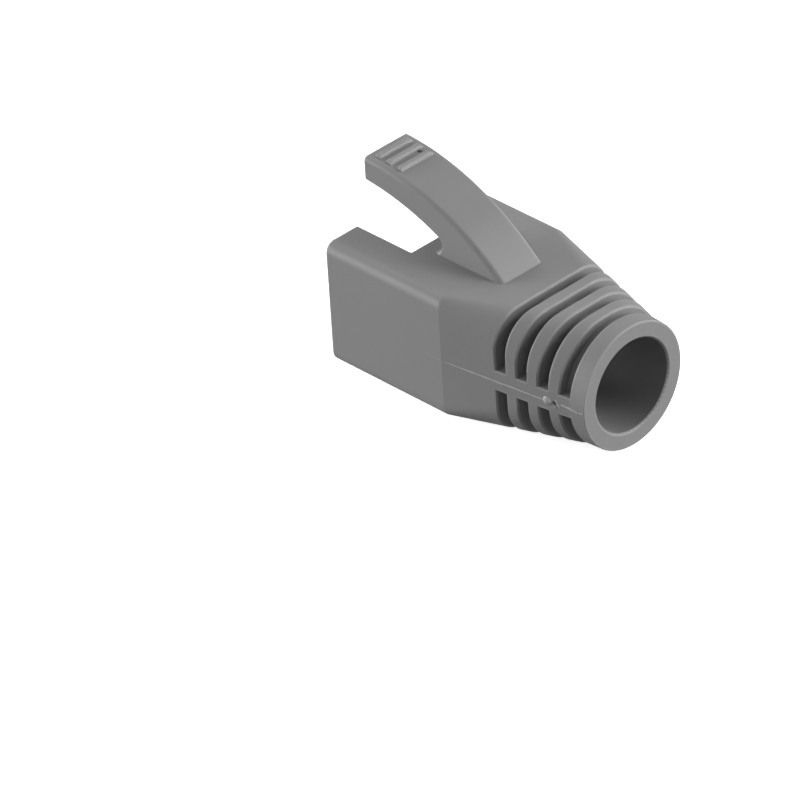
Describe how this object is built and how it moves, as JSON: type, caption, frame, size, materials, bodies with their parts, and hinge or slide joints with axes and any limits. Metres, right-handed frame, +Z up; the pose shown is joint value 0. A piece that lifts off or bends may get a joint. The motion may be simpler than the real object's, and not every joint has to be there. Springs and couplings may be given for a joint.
{
  "type": "rj45 strain relief boot",
  "caption": "Slip-on strain relief boot for a modular plug, with a rectangular hood, a notch for the latch, a curved latch guard and a ribbed round tail with a cable bore.",
  "frame": {"origin": "centre of the boot's footprint, on the plane that the hood's underside rests on", "axes": "+Y along the cable, from the mouth for the plug towards the cable exit; +Z up, on the side of the plug's latch; +X across the plug"},
  "size_m": [0.014, 0.0266, 0.0172],
  "materials": {
    "boot": "satin, soft moulded PVC, mid grey"
  },
  "bodies": {
    "root": {"boot": "boot"}
  },
  "joints": []
}
